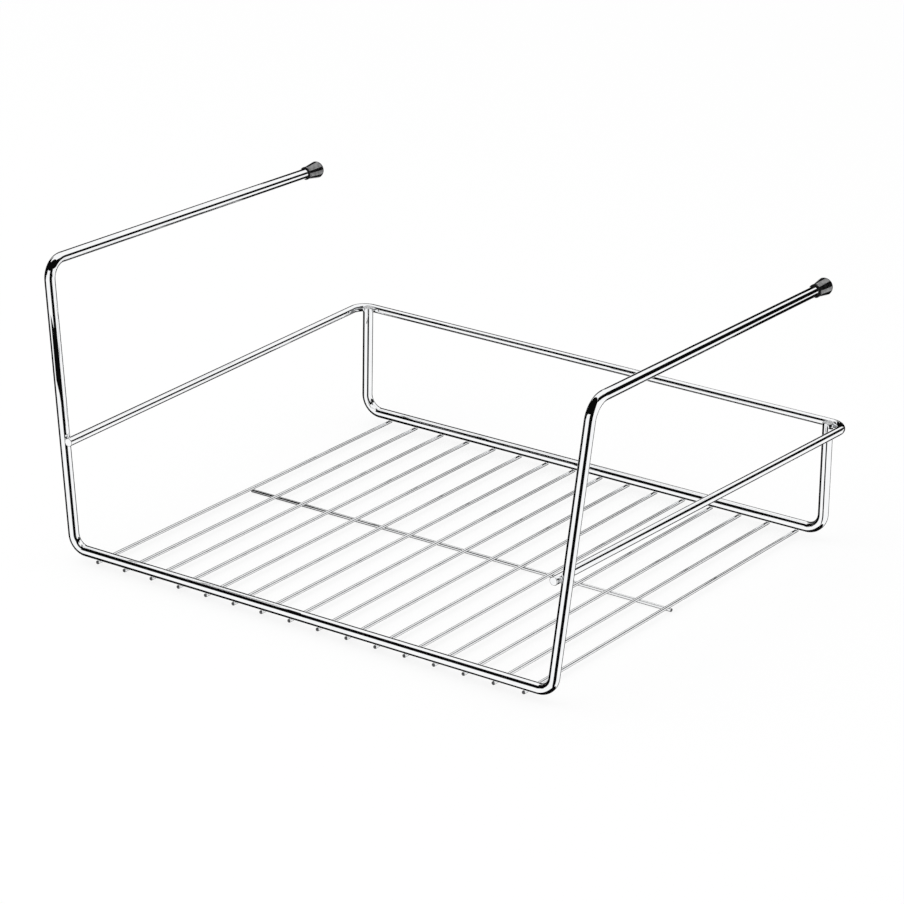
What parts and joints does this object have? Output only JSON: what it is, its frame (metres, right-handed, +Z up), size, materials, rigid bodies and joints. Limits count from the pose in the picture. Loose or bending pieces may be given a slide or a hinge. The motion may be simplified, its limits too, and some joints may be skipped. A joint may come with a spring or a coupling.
{
  "type": "hanging organizer",
  "caption": "Chrome wire basket that hangs under a shelf: capped arms lie on the board, splayed posts drop to a flat floor of thin wires, and a low rim runs round the sides and back.",
  "frame": {"origin": "under the middle of the whole object, on the surface that it stands on", "axes": "+Z up, +X to the right seen from the front, +Y from the posts at the front towards the back of the shelf"},
  "size_m": [0.3496, 0.2778, 0.1686],
  "materials": {
    "chrome_rod": "polished chrome plating on steel rod",
    "chrome_wire": "polished chrome plating on drawn steel wire",
    "black_vinyl": "glossy soft vinyl"
  },
  "bodies": {
    "root": {"front_frame": "chrome_rod", "rear_frame": "chrome_rod", "rim": "chrome_rod", "floor_wire_01": "chrome_wire", "floor_wire_02": "chrome_wire", "floor_wire_03": "chrome_wire", "floor_wire_04": "chrome_wire", "floor_wire_05": "chrome_wire", "floor_wire_06": "chrome_wire", "floor_wire_07": "chrome_wire", "floor_wire_08": "chrome_wire", "floor_wire_09": "chrome_wire", "floor_wire_10": "chrome_wire", "floor_wire_11": "chrome_wire", "floor_wire_12": "chrome_wire", "floor_wire_13": "chrome_wire", "floor_wire_14": "chrome_wire", "floor_wire_15": "chrome_wire", "floor_wire_16": "chrome_wire", "cross_wire": "chrome_wire", "left_arm_cap": "black_vinyl", "right_arm_cap": "black_vinyl"}
  },
  "joints": []
}
